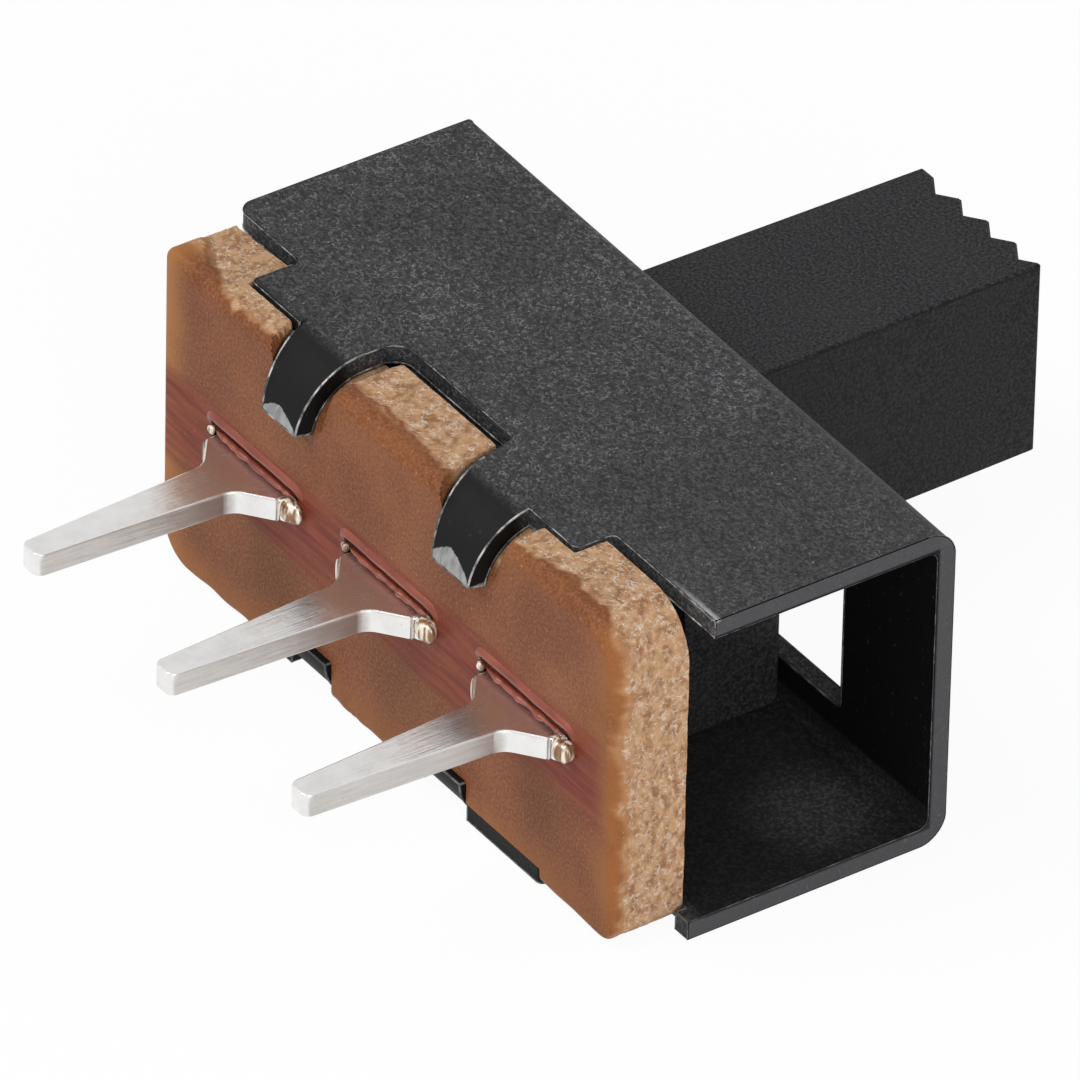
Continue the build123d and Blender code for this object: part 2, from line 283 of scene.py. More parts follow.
# %% Lattice noise
def lattice_noise(along, across, cells, seed):
    """Random heights from -1 to 1 on a lattice of this many cells along, blended by smooth steps."""
    table = np.random.default_rng(seed).uniform(-1, 1, (cells, 64))
    i, j = np.floor(along).astype(int), np.floor(across).astype(int)
    u, v = along - i, across - j
    u, v = u * u * (3 - 2 * u), v * v * (3 - 2 * v)
    near = table[i % cells, j % 64] * (1 - u) + table[(i + 1) % cells, j % 64] * u
    far = table[i % cells, (j + 1) % 64] * (1 - u) + table[(i + 1) % cells, (j + 1) % 64] * u
    return near * (1 - v) + far * v


def smooth_step(value, low, high):
    """0 below low, 1 above high, and a cubic rise between them."""
    share = np.clip((value - low) / (high - low), 0, 1)
    return share * share * (3 - 2 * share)


strides = np.linalg.norm(np.diff(walk, axis=0, append=walk[:1]), axis=1)
LENGTH = strides.sum()
travel = np.concatenate([[0], np.cumsum(strides)[:-1]])


def rim_noise(grain_along, grain_across, seed):
    """Lattice noise over the rim: hills of these millimetres round the walk and through the board."""
    cells = int(LENGTH / grain_along)
    return lattice_noise((travel / LENGTH * cells)[None, :], depths[:, None] / grain_across, cells, seed)


def walk_noise(cells, seed):
    """Lattice noise round the walk alone, with this many hills and dips."""
    return lattice_noise(travel[None, :] / LENGTH * cells, np.zeros((1, 1)), cells, seed)


print("walk length", round(LENGTH, 2), "mm")

# %% [markdown]
# ## How far the rim sinks in
# Two things decide it. The torn edge: a quarter round where the skin rolls over, then a
# ragged line behind which the fibres lie lower and rough. And the recesses: the slots under
# the folded tabs and the pockets beside the ears, whose floors repeat the CAD's own.

# %% Torn rim and recesses
# Where the skin ends along the top, as X and depth behind the front
TORN_LINE = [
    (-6.12, 0.66), (-5.5, 0.42), (-5.0, 0.22), (-4.4, 0.10), (-3.3, 0.08), (-1.9, 0.32), (-1.1, 0.38),
    (0.0, 0.40), (0.95, 0.32), (2.6, 0.14), (3.5, 0.14), (4.2, 0.36), (4.8, 0.28),
]


def torn_rim():
    """Sink of the rim and share of torn surface.

    Sink is a quarter round at the front, deeper beside the upper tabs, plus a step down behind
    a ragged line that fades towards the back, plus low rough hills where it is torn.
    """
    up, side = outward[:, 1], outward[:, 0]
    grow = smooth_step(walk[:, 1], 0.6, 4.0)
    roll = 0.14 + 0.14 * grow * smooth_step(walk[:, 0], FAR + 0.3, FAR + 0.9)
    beside = np.zeros(len(walk))
    for _, last, _, _ in TOP_SLOTS:
        next_to = (walk[:, 0] > last - 0.3) * (up > 0.999)
        beside += next_to * (1 - smooth_step(walk[:, 0], last + 0.08, last + 0.5))
    roll = roll + 0.62 * beside
    ragged = walk_noise(90, 3) + 0.6 * walk_noise(300, 4) + 0.4 * walk_noise(620, 9)
    upper = np.interp(walk[:, 0], *np.array(TORN_LINE).T)
    lower = 0.16 + 0.14 * walk_noise(70, 8)[0]
    line = np.where(up > 0, upper, lower)
    clear = smooth_step(walk[:, 0], FAR + 0.7, FAR + 1.5)
    clear = clear * (1 - smooth_step(walk[:, 0], NEAR - 1.2, NEAR - 0.4))
    roll = roll + 0.10 * np.clip(lower - 0.12, 0, None) / 0.18 * (up < -0.999) * clear
    line = line + (0.10 - line) * smooth_step(side, 0.1, 0.9) + 0.07 * ragged
    past = depths[:, None] - line
    ends = smooth_step(np.abs(side), 0.1, 0.9)
    torn = smooth_step(past, -0.05 - 0.05 * ends, 0.16 + 0.16 * ends)
    bend = np.clip(roll[None, :] - depths[:, None], 0, None)
    rolled = roll - np.sqrt(np.clip(roll**2 - bend**2, 0, None)) + 0.28 * beside
    hills = 0.5 * rim_noise(0.30, 0.22, 5) + 0.35 * rim_noise(0.12, 0.09, 6)
    hills = hills + 0.2 * rim_noise(0.06, 0.05, 7)
    step_down = 0.02 + 0.05 * np.exp(-np.clip(past, 0, None) / 0.12) * (1 - ends)
    far_top = (1 - smooth_step(walk[:, 0], FAR + 0.7, FAR + 1.7)) * (up > 0.5)
    step_down = step_down + 0.09 * far_top
    return rolled + torn * (step_down + 0.018 * hills), torn


def recess_depth(x, y, slots, pockets, nose):
    """Depth of one side's recesses: a quarter round in the slots, a flat floor in the pockets."""
    fold_y, radius, drop = nose
    reach = np.minimum(y - fold_y, 0)
    floor = drop - np.sqrt(np.clip(radius**2 - reach**2, 0, None))
    floor = np.where(reach < -radius, drop + 0.03, floor)
    depth = np.zeros(np.broadcast(x, y).shape)
    for first, last, lean_y, lean in slots:
        start = first + lean * (np.clip(lean_y - y, 0, None) + np.clip(floor - 0.38, 0, None))
        side = smooth_step(x, start - 0.14, start)
        depth = np.where(x < last, np.maximum(depth, floor * side), depth)
    for first, last, stop in pockets:
        within = (x > first) & (x < last) & (y > stop)
        depth = np.where(within, np.maximum(depth, POCKET_DEPTH), depth)
    return depth


rim_x, rim_y = walk[None, :, 0], FRONT + depths[:, None]
sink, torn = torn_rim()
top = recess_depth(rim_x, rim_y, TOP_SLOTS, TOP_POCKETS, TOP_NOSE)
low = recess_depth(rim_x, rim_y, LOW_SLOTS, LOW_POCKETS, LOW_NOSE)
recess = np.maximum(np.where(outward[:, 1] > 0.999, top, 0), np.where(outward[:, 1] < -0.999, low, 0))
sink = np.maximum(sink, recess)
recess_torn = 0.55 * smooth_step(depths[:, None], 0.2, 0.6)
torn = np.where(recess > sink - 1e-6, recess_torn, torn) * (depths[:, None] > 0)
rim = np.empty((len(depths), len(walk), 3))
rim[..., 0] = walk[:, 0] - outward[:, 0] * sink
rim[..., 1] = rim_y
rim[..., 2] = walk[:, 1] - outward[:, 1] * sink
print("rim", rim.shape, "deepest sink", round(sink.max(), 2), "torn share", round(float(torn.mean()), 2))

# %% [markdown]
# ## Front, back and blade slots
# The two faces are flat, so they need no grid: a constrained Delaunay fill covers the outline
# and leaves the three blade slots open. Short walls join each slot's front and back.

# %% Faces and slots
TERMINALS = ("far", "middle", "near")
PLACES = [sum(corner[0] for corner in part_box("terminal_" + name)) / 2 / MM for name in TERMINALS]
SLOT_LOW, SLOT_HIGH, SLOT_HALF, SLOT_ROUND, SLOT_STEP = 2.72, 3.30, 1.17, 0.08, 0.03


def slot_walk(place):
    """Walk round one blade slot: the places and the outward directions, in X and Z."""
    low, high = (place - SLOT_HALF, SLOT_LOW), (place + SLOT_HALF, SLOT_HIGH)
    return rounded_walk(low, high, np.full(4, SLOT_ROUND), SLOT_STEP, {})


def inside(points, loop):
    """Which points lie inside a closed loop: those with an odd number of edges to their right."""
    ends = np.roll(loop, -1, axis=0)
    straddles = (loop[:, 1] > points[:, None, 1]) != (ends[:, 1] > points[:, None, 1])
    rise = np.where(ends[:, 1] == loop[:, 1], 1e-9, ends[:, 1] - loop[:, 1])
    crossing = loop[:, 0] + (points[:, None, 1] - loop[:, 1]) / rise * (ends[:, 0] - loop[:, 0])
    return (straddles & (points[:, None, 0] < crossing)).sum(axis=1) % 2 == 1


def face_grid(loops, step=0.16, margin=0.07):
    """Evenly spaced points inside the outline and outside the holes, clear of both."""
    x, z = np.meshgrid(np.arange(FAR, NEAR, step), np.arange(LOW, HIGH, step))
    points = np.stack([x.ravel(), z.ravel()], axis=1)
    keep = inside(points, loops[0])
    for hole in loops[1:]:
        keep &= ~inside(points, hole)
    points = points[keep]
    near = np.concatenate(loops)
    gap = np.sqrt(((points[:, None] - near[None]) ** 2).sum(-1)).min(axis=1)
    return points[gap > margin]


def fill(loops, extra):
    """Triangles between an outline and its holes, over the extra points too.

    They are indices into all the points, laid end to end.
    """
    sizes = [len(loop) for loop in loops]
    starts = np.cumsum([0] + sizes[:-1])
    edges = [(int(s + k), int(s + (k + 1) % n)) for s, n in zip(starts, sizes) for k in range(n)]
    points = [Vector(p) for p in np.concatenate([*loops, extra]).tolist()]
    _, _, faces, origin, _, _ = delaunay_2d_cdt(points, edges, [], 2, 1e-6)
    return [[origin[v][0] for v in face] for face in faces]


def ring_faces(rows, columns, start=0):
    """Quads of a grid that closes on itself along its columns."""
    row, column = np.meshgrid(np.arange(rows - 1) * columns, np.arange(columns), indexing="ij")
    here, after = row + column, row + (column + 1) % columns
    quads = np.stack([here, after, after + columns, here + columns], axis=-1)
    return (quads.reshape(-1, 4) + start).tolist()


def new_piece(name, points, faces, smooth_below=40):
    """A mesh object at the origin from points in millimetres, smooth but for its sharp edges."""
    mesh = bpy.data.meshes.new(name)
    mesh.from_pydata((np.asarray(points) * MM).tolist(), [], faces)
    shell = bmesh.new()
    shell.from_mesh(mesh)
    bmesh.ops.recalc_face_normals(shell, faces=shell.faces)
    shell.to_mesh(mesh)
    shell.free()
    mesh.polygons.foreach_set("use_smooth", np.ones(len(mesh.polygons), dtype=bool))
    mesh.set_sharp_from_angle(angle=math.radians(smooth_below))
    piece = bpy.data.objects.new(name, mesh)
    scene.collection.objects.link(piece)
    print(name, len(points), "points", len(faces), "faces")
    return piece


def ring_piece(name, surfaces, smooth_below):
    """One piece from several surfaces, each closed on itself along its second direction."""
    starts = np.cumsum([0] + [surface.size // 3 for surface in surfaces])
    faces = [ring_faces(*surface.shape[:2], start) for surface, start in zip(surfaces, starts)]
    points = np.concatenate([surface.reshape(-1, 3) for surface in surfaces])
    return new_piece(name, points, sum(faces, []), smooth_below)


holes = [slot_walk(place)[0] for place in PLACES]
columns, rows = len(walk), len(depths)
points, faces = [rim.reshape(-1, 3)], ring_faces(rows, columns)
hole_starts, total = {}, rim.size // 3
for y in (FRONT, BACK):
    for k, hole in enumerate(holes):
        hole_starts[y, k] = total
        points.append(np.stack([hole[:, 0], np.full(len(hole), y), hole[:, 1]], axis=1))
        total += len(hole)
for y, row in ((FRONT, 0), (BACK, rows - 1)):
    loops = [rim[row][:, [0, 2]], *holes]
    extra = face_grid(loops)
    ids = [row * columns + np.arange(columns)]
    ids += [hole_starts[y, k] + np.arange(len(hole)) for k, hole in enumerate(holes)]
    ids = np.concatenate([*ids, total + np.arange(len(extra))])
    points.append(np.stack([extra[:, 0], np.full(len(extra), y), extra[:, 1]], axis=1))
    total += len(extra)
    faces += [[int(ids[v]) for v in face] for face in fill(loops, extra)]
for k, hole in enumerate(holes):
    ring = hole_starts[FRONT, k] + np.arange(len(hole))
    after, through = np.roll(ring, -1), hole_starts[BACK, k] - hole_starts[FRONT, k]
    faces += np.stack([ring, after, after + through, ring + through], axis=-1).tolist()
board = new_piece("punched_board", np.concatenate(points), faces)
share = np.zeros(total, dtype=np.float32)
share[: torn.size] = torn.ravel()
board.data.attributes.new("torn", "FLOAT", "POINT").data.foreach_set("value", share)
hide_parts("terminal_board")
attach(board, "housing")

# %% [markdown]
# ## Phenolic paper
# Behind the smooth skin the resin is brown and a little clear: it turns amber where the board
# is thin or close to an edge, and a reddish band runs along the row of blades where the paper
# was bruised. The torn rim is pale fibre with dark pits. The `torn` attribute, worked out with
# the mesh, tells the material which is which, so colour and shape stay together.

# %% Board finish
def phenolic_paper():
    """Brown resin with an amber edge and a red band, and pale fibre where the surface is torn."""
    made = Finish("phenolic_paper")
    x, z = made.along("X"), made.along("Z")
    torn = made.node("ShaderNodeAttribute", {"attribute_name": "torn"}, output="Fac")
    clouds = made.noise(1.3, 4.0)
    fine = made.noise(0.05, 3.0, roughness=0.7)
    resin = made.mix(clouds.step(0.3, 0.7), (0.150, 0.051, 0.022), (0.215, 0.079, 0.033))
    resin = made.mix(fine.step(0.42, 0.66) * 0.55, resin, (0.33, 0.135, 0.062))
    resin = made.mix((1 - fine).step(0.48, 0.72) * 0.6, resin, (0.105, 0.034, 0.016))
    ends = x.step(4.9, 5.95).math("MAXIMUM", (0 - x).step(5.2, 6.15))
    edge = ends.math("MAXIMUM", (0 - z).step(-1.0, -0.1)).math("MAXIMUM", z.step(5.0, 5.7) * 0.12)
    resin = made.mix(edge * clouds.step(0.1, 0.6) * 0.8, resin, (0.30, 0.115, 0.036))
    resin = made.mix((0 - x).step(5.3, 6.2) * 0.6, resin, (0.45, 0.195, 0.065))
    streak = made.noise(0.35, 3.0, stretch=(9.0, 1.0, 1.0))
    wander = (streak - 0.5) * 0.9
    band = (z + wander).step(1.75, 2.25) * (1 - (z + wander).step(3.35, 3.75)) * (1 - x.step(5.3, 5.85))
    threads = made.noise(0.09, 2.0, stretch=(14.0, 1.0, 1.0))
    bruise = made.mix(threads.step(0.35, 0.65), (0.155, 0.028, 0.020), (0.235, 0.055, 0.032))
    resin = made.mix(band * (0.60 + streak.step(0.30, 0.65) * 0.40), resin, bruise)
    specks = made.noise(0.05, 1.0).step(0.74, 0.80)
    resin = made.mix(specks * 0.6, resin, (0.55, 0.36, 0.24))
    fibre = made.noise(0.17, 4.0, stretch=(1.0, 1.0, 1.3), roughness=0.65)
    paper = made.mix(fibre.step(0.32, 0.62), (0.270, 0.130, 0.063), (0.51, 0.310, 0.175))
    hairs = (made.noise(0.13, 3.0) - 0.5).math("ABSOLUTE")
    curls = (1 - hairs.step(0.0, 0.075)) * made.noise(0.11, 2.0).step(0.38, 0.62)
    paper = made.mix(curls * 0.65, paper, (0.80, 0.66, 0.53))
    pits = made.noise(0.09, 2.0).step(0.58, 0.72)
    paper = made.mix(pits * 0.45, paper, (0.23, 0.105, 0.052))
    paper = made.mix(made.noise(0.6, 2.0).step(0.50, 0.80) * 0.4, paper, (0.52, 0.29, 0.13))
    bare = (torn + (fibre - 0.5) * 1.3 + (clouds - 0.5) * 0.6).step(0.22, 0.85) * torn.step(0.02, 0.20)
    resin = made.mix(torn.step(0.0, 0.40) * 0.6, resin, (0.46, 0.24, 0.115))
    colour = made.mix(bare, resin, paper)
    relief = made.bump(fine * 0.15 * (1 - bare) + (curls * 0.5 + fibre * 0.8 - pits * 0.1) * bare, 0.020)
    rough = 0.40 + bare * 0.42
    return made.shade(Base_Color=colour, Roughness=rough, Normal=relief, Specular_IOR_Level=0.08)


board.data.materials.append(phenolic_paper())
print("finish", board.data.materials[0].name, "on", board.name)

# %% [markdown]
# ## Lips round the blade slots
# Pressing the blades in raised a low rounded lip above each slot. A thin red-brown ridge along
# each blade is a painted reflection of the lip in the tin. Both are profiles carried along a
# path: half a sine wave along the slot's own outline, and a small oval along the blade.

# %% Slot lips
LIP_INNER, LIP_OUTER, LIP_HEIGHT, LIP_DIVE = -0.05, 0.15, 0.06, 0.12


def slot_lip(place, seed):
    """Lip round one slot: half a sine across it, and diving into the slot where it passes the edge."""
    edge, away = slot_walk(place)
    across = np.linspace(LIP_INNER, LIP_OUTER, 13)[:, None]
    turn = np.linspace(0, 14, len(edge), endpoint=False)[None, :]
    uneven = 1 + 0.15 * lattice_noise(turn, np.zeros((1, 1)), 14, seed)
    upper = smooth_step(edge[:, 1], SLOT_HIGH - 0.12, SLOT_HIGH)
    rise = LIP_HEIGHT * np.sin(math.pi * (across - LIP_INNER) / (LIP_OUTER - LIP_INNER)) * uneven * upper
    dive = LIP_DIVE * (np.clip(0.02 - across, 0, None) / (0.02 - LIP_INNER)) ** 2
    places = edge[None] + away[None] * across[..., None]
    return np.stack([places[..., 0], FRONT - rise + dive + 0.004, places[..., 1]], axis=-1)


BLADE_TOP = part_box("terminal_middle")[1][2] / MM
RIDGE_HALF = 1.04


def lip_reflection_ridge(place, seed):
    """Ridge along a blade, a painted reflection of the lip in the tin: an oval section carried along X,
    its size waving.
    """
    along = np.linspace(-RIDGE_HALF, RIDGE_HALF, 90)[:, None]
    turn = np.linspace(0, 2 * math.pi, 14, endpoint=False)[None, :]
    wave = 0.8 + 0.3 * lattice_noise(along * 9 + 20, np.zeros((1, 1)), 64, seed)
    size = (1 - along**8 / RIDGE_HALF**8) * wave + 0.02
    y = FRONT + 0.09 * size * np.cos(turn)
    return np.stack([place + along + 0 * turn, y, BLADE_TOP + 0.055 * size * np.sin(turn)], axis=-1)


surfaces = []
for seed, place in enumerate(PLACES):
    # The ridges take the lips' red-brown finish as a painted reflection of the lips in the tin.
    surfaces += [slot_lip(place, 20 + seed), lip_reflection_ridge(place, 30 + seed)]
lips = ring_piece("slot_lips", surfaces, 80)


def bruised_lip():
    """Red-brown resin, glossier than the face round it."""
    made = Finish("bruised_lip")
    streak = made.noise(0.2, 3.0, stretch=(5.0, 1.0, 1.0))
    colour = made.mix(streak.step(0.3, 0.7), (0.165, 0.030, 0.016), (0.28, 0.066, 0.034))
    crumbs = made.noise(0.05, 2.0).step(0.68, 0.76)
    colour = made.mix(crumbs * 0.6, colour, (0.60, 0.38, 0.22))
    relief = made.bump(streak, 0.004)
    return made.shade(Base_Color=colour, Roughness=0.28 + streak * 0.1, Normal=relief)


lips.data.materials.append(bruised_lip())
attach(lips, "housing")

# %% [markdown]
# ## Black satin on the cover
# The cover is steel sheet with a thin black finish. Up close the grey is full of short pale
# flecks, like brushed-on grain, and the flecks fade where the tabs were stretched in the fold.
# Ridged noise gives such flecks: the places where a noise passes its middle value are thin
# curling lines, and a second noise breaks them into pieces.

# %% Cover finish
cover_box = [[value / MM for value in corner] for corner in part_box("cover")]
WEB, TOP = cover_box[1][1:]
WALL = 0.32


def flecked(made, grain):
    """Short curling flecks: where one noise crosses its middle, broken up by another."""
    line = (made.noise(grain, 2.0) - 0.5).math("ABSOLUTE")
    return (1 - line.step(0.0, 0.050)) * made.noise(grain * 0.9, 1.0).step(0.38, 0.60)


def distance(x, y, centre):
    """Distance of X and Y from a centre, in millimetres."""
    across, along = x - centre[0], y - centre[1]
    return (across * across + along * along).math("POWER", 0.5)


def chip(made, x, height, first, peak, last, base, rise):
    """Bare patch at a tab's tip: a hump over X between first and last, rising to peak above base."""
    left = (x - first) / (peak - first)
    right = (last - x) / (last - peak)
    hump = left.math("MINIMUM", right).math("MAXIMUM", 0.0).math("MINIMUM", 1.0).math("POWER", 0.5)
    top = base + hump * rise + (made.noise(0.12, 3.0) - 0.5) * 0.08
    return (top - height).step(0.0, 0.02) * left.step(-0.05, 0.0) * right.step(-0.05, 0.0)


def cover_satin():
    """Satin black with pale flecks, plainer on tabs and end faces, bare steel at the tabs' tips, and
    painted shade and light.
    """
    made = Finish("cover_satin_black")
    x, y, z = made.along("X"), made.along("Y"), made.along("Z")
    tab = (0 - y).step(2.75, 3.05)
    within = z.step(WALL - 0.06, WALL - 0.01) * (1 - z.step(TOP - WALL + 0.01, TOP - WALL + 0.06))
    within = within * (1 - y.step(WEB - WALL + 0.01, WEB - WALL + 0.06)) * y.step(-2.2, -2.1)
    ends = x.step(6.325, 6.345).math("MAXIMUM", (0 - x).step(6.325, 6.345))
    flat = (1 - tab) * (1 - within) * (1 - ends * 0.75)
    clouds = made.noise(1.8, 3.0)
    worn = (clouds.step(0.30, 0.70) * 0.6 + 0.4) * (1 - x.step(1.0, 5.0) * 0.45)
    grey = made.mix(clouds.step(0.3, 0.75), (0.015, 0.015, 0.016), (0.027, 0.027, 0.029))
    grey = made.mix(ends, grey, (0.064, 0.064, 0.068))
    # Painted shade: the folded front tabs are darkened in colour.
    grey = made.mix(tab, grey, (0.0045, 0.0045, 0.005))
    ground = 1 - z.step(0.6, 0.7)
    # Painted light on the channel's floor: brighter all over, with a pool of light near the open end,
    # and specks in it.
    floor_light_pool = (1 - distance(x, y, (5.1, 0.8)).step(0.1, 1.5)) * ground
    # Painted shade: the inside of the channel is darkened in colour.
    grey = made.mix(within, grey, (0.0040, 0.0040, 0.0048))
    floor_specks = made.noise(0.06, 3.0).step(0.40, 0.75)
    lit = (floor_light_pool * 0.9 + ground * 0.25) * (0.35 + floor_specks)
    grey = made.mix(within * lit, grey, (0.085, 0.084, 0.082))
    grain = made.noise(0.05, 3.0, stretch=(1.4, 1.0, 1.0))
    colour = made.mix(grain.step(0.36, 0.70) * flat, grey, (0.058, 0.058, 0.060))
    colour = made.mix(flecked(made, 0.10) * flat * worn, colour, (0.200, 0.200, 0.206))
    # Painted highlight along the long fold of the top.
    fold_highlight = y.step(WEB - 0.30, WEB - 0.08) * z.step(TOP - 0.35, TOP - 0.08) * x.step(-4.0, 5.0)
    colour = made.mix(fold_highlight * (0.2 + grain) * 0.55, colour, (0.160, 0.160, 0.165))
    tip = 1 - distance(x, y, (6.35, -2.1)).step(0.1, 1.5)
    tip = tip * (0 - y).step(1.97, 2.05) * z.step(TOP - 0.07, TOP - 0.01)
    colour = made.mix(tip * (0.3 + grain), colour, (0.40, 0.395, 0.39))
    rare = made.noise(0.10, 2.0).step(0.68, 0.76)
    colour = made.mix(rare * (0.10 + flat * 0.5), colour, (0.28, 0.28, 0.285))
    front = (0 - y).step(3.4, 3.45)
    bare = chip(made, x, z, -2.99, -2.62, -2.08, 4.66, 0.27)
    bare = bare + chip(made, x, z, 1.50, 1.90, 2.50, 4.68, 0.34)
    bare = bare * front * z.step(4.2, 4.3)
    scratch = made.noise(0.10, 3.0, stretch=(1.0, 1.0, 6.0))
    steel = made.mix(scratch.step(0.3, 0.7), (0.24, 0.24, 0.24), (0.40, 0.40, 0.395))
    colour = made.mix(bare, colour, steel)
    rough = 0.50 + made.noise(0.3, 2.0) * 0.12 - bare * 0.18
    relief = made.bump(made.noise(0.06, 3.0) + bare * -0.6, 0.008)
    made.shade(Metallic=bare * 0.85, Specular_IOR_Level=0.15)
    return made.shade(Base_Color=colour, Roughness=rough, Normal=relief)


dress(cover_satin(), "cover")

# %% [markdown]
# ## Rubbed edges
# Sheet metal never keeps its finish on its edges: they are rubbed to bare steel in places. A
# bevel on the imported triangles leaves spikes, so each sharp outward edge is found from the
# mesh and gets a hair-thin bead of its own, half sunk into the sheet. This step finds them.

# %% Find the sharp edges
SHARPER, BEAD_RADIUS = 35, 0.02


def sharp_edges(name, sharper):
    """Ends and two facing directions of a CAD node's outward edges sharper than this many degrees.

    Equal corners of the loose triangles are joined, every edge is paired with the two triangles
    that share it, and it stands outwards where one triangle lies below the other's plane.
    The seams where the tabs leave the flat top are left out.
    """
    mesh = nodes[name].data
    mesh.calc_loop_triangles()
    places = np.empty(len(mesh.vertices) * 3)
    corners = np.empty(len(mesh.loop_triangles) * 3, dtype=np.int32)
    mesh.vertices.foreach_get("co", places)
    mesh.loop_triangles.foreach_get("vertices", corners)
    places = places.reshape(-1, 3) / MM
    _, first, same = np.unique(np.round(places / 0.0005), axis=0, return_index=True, return_inverse=True)
    places, corners = places[first], same.reshape(-1)[corners].reshape(-1, 3)
    first_side, second_side = (places[corners[:, k]] - places[corners[:, 0]] for k in (1, 2))
    facing = np.cross(first_side, second_side)
    area = np.linalg.norm(facing, axis=1)
    whole = area > 1e-9
    corners, facing = corners[whole], facing[whole] / area[whole, None]
    pairs = np.sort(np.concatenate([corners[:, [0, 1]], corners[:, [1, 2]], corners[:, [2, 0]]]), axis=1)
    opposite, owner = np.concatenate(corners[:, [2, 0, 1]].T), np.tile(np.arange(len(corners)), 3)
    order = np.lexsort(pairs.T)
    pairs, opposite, owner = pairs[order], opposite[order], owner[order]
    twin = np.nonzero((pairs[1:] == pairs[:-1]).all(axis=1))[0]
    start, end = places[pairs[twin, 0]], places[pairs[twin, 1]]
    one, other = facing[owner[twin]], facing[owner[twin + 1]]
    below = ((places[opposite[twin + 1]] - start) * one).sum(axis=1) < 0
    middle = (start + end) / 2
    roots = np.abs(middle[:, :1] - np.array([slot[0] for slot in TOP_SLOTS])).min(axis=1) < 0.12
    seam = roots & (middle[:, 2] > TOP - 0.08) & (np.abs(end - start)[:, 0] < 0.1)
    chosen = below & ~seam & ((one * other).sum(axis=1) < math.cos(math.radians(sharper)))
    return start[chosen], end[chosen], one[chosen], other[chosen]


found = sharp_edges("cover", SHARPER)
print("sharp edges", len(found[0]))

# %% [markdown]
# ## A bead for every edge
# A bead is a small six-sided circle carried along its edge, with both ends closed. All beads
# are worked out at once, as one array of edges by ends by sides.

# %% Beads along the edges
def edge_beads(start, end, one, other, radius, sides=6):
    """A circle carried from end to end of each edge, its middle half a radius inside the metal."""
    along = (end - start) / np.linalg.norm(end - start, axis=1, keepdims=True)
    out = one + other
    out /= np.linalg.norm(out, axis=1, keepdims=True)
    turn = np.linspace(0, 2 * math.pi, sides, endpoint=False)[None, :, None]
    sideways = np.cross(along, out)[:, None]
    ring = np.cos(turn) * out[:, None] + np.sin(turn) * sideways - 0.5 * out[:, None]
    ends = np.stack([start - along * radius * 0.3, end + along * radius * 0.3], axis=1)
    points = ends[:, :, None] + radius * ring[:, None]
    index = np.arange(points.size // 3).reshape(-1, 2, sides)
    first, last = index[:, 0], index[:, 1]
    quads = np.stack([first, np.roll(first, -1, 1), np.roll(last, -1, 1), last], axis=-1).reshape(-1, 4)
    return points.reshape(-1, 3), quads.tolist() + first[:, ::-1].tolist() + last.tolist()


def rubbed_edge():
    """Edge where the black is rubbed through to grey steel in places, most of them in front."""
    made = Finish("cover_rubbed_edge")
    y, z = made.along("Y"), made.along("Z")
    patches = made.noise(0.30, 4.0, roughness=0.70).step(0.40, 0.66)
    front = (0 - y).step(1.2, 2.0) * z.step(3.0, 4.5)
    shown = patches * (0.30 + front * 0.70)
    colour = made.mix(shown, (0.020, 0.020, 0.021), (0.46, 0.455, 0.45))
    return made.shade(Base_Color=colour, Metallic=shown * 0.5, Roughness=0.40 + patches * 0.1)


edge_points, edge_faces = edge_beads(*found, BEAD_RADIUS)
edges = new_piece("rubbed_edges", np.clip(edge_points, *cover_box), edge_faces, 70)
edges.data.materials.append(rubbed_edge())
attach(edges, "housing")

# %% [markdown]
# ## Moulded black
# The slider is moulded plastic. Its skin is an even, fine matte grain with no direction, and
# a faint darker seam runs beside its long edges, where the two halves of the mould met.

# %% Slider finish
KNOB_TOP = 4.60


def moulded_black():
    """Nearly black plastic with a fine grain, with painted shade on its near-facing side and inside the
    cover.
    """
    made = Finish("moulded_black")
    grain = made.noise(0.05, 3.0)
    broad = made.noise(1.1, 2.0)
    colour = made.mix(grain.step(0.36, 0.68), (0.0035, 0.0035, 0.0045), (0.040, 0.040, 0.043))
    colour = made.mix(broad.step(0.4, 0.8) * 0.25, colour, (0.030, 0.030, 0.031))
    specks = made.noise(0.06, 1.0).step(0.72, 0.78)
    colour = made.mix(specks * 0.5, colour, (0.12, 0.12, 0.12))
    y, z = made.along("Y"), made.along("Z")
    wander = (made.noise(1.2, 2.0) - 0.5) * 0.04
    seam = 1 - (z + wander - KNOB_TOP + 0.05).math("ABSOLUTE").step(0.0, 0.035)
    colour = made.mix(seam * 0.85, colour, (0.002, 0.002, 0.0024))
    # Painted shade: darker where the slider lies inside the cover.
    outside = y.step(2.1, 2.3)
    colour = made.mix((1 - outside) * 0.40, colour, (0.008, 0.008, 0.009))
    # Painted shade on the faces that look towards the near end.
    near_side_shade = made.facing("X").step(0.6, 0.9)
    colour = made.mix(near_side_shade * outside * 0.35, colour, (0.003, 0.003, 0.0036))
    rough, relief = 0.52 + grain * 0.1, made.bump(grain, 0.010)
    return made.shade(Base_Color=colour, Roughness=rough, Normal=relief, Specular_IOR_Level=0.16)


dress(moulded_black(), "slider")

# %% [markdown]
# ## Tinned metal
# The pins are blanked from brass strip and tinned. Tin is a soft bright mirror with fine
# lines along the strip and faint dull patches, so roughness varies more than colour does. The
# sheared sides are rougher and carry painted shade. Bevel rounds the edges once the flats are
# whole faces again.

# %% Pin finish
TIN = (0.90, 0.89, 0.875)


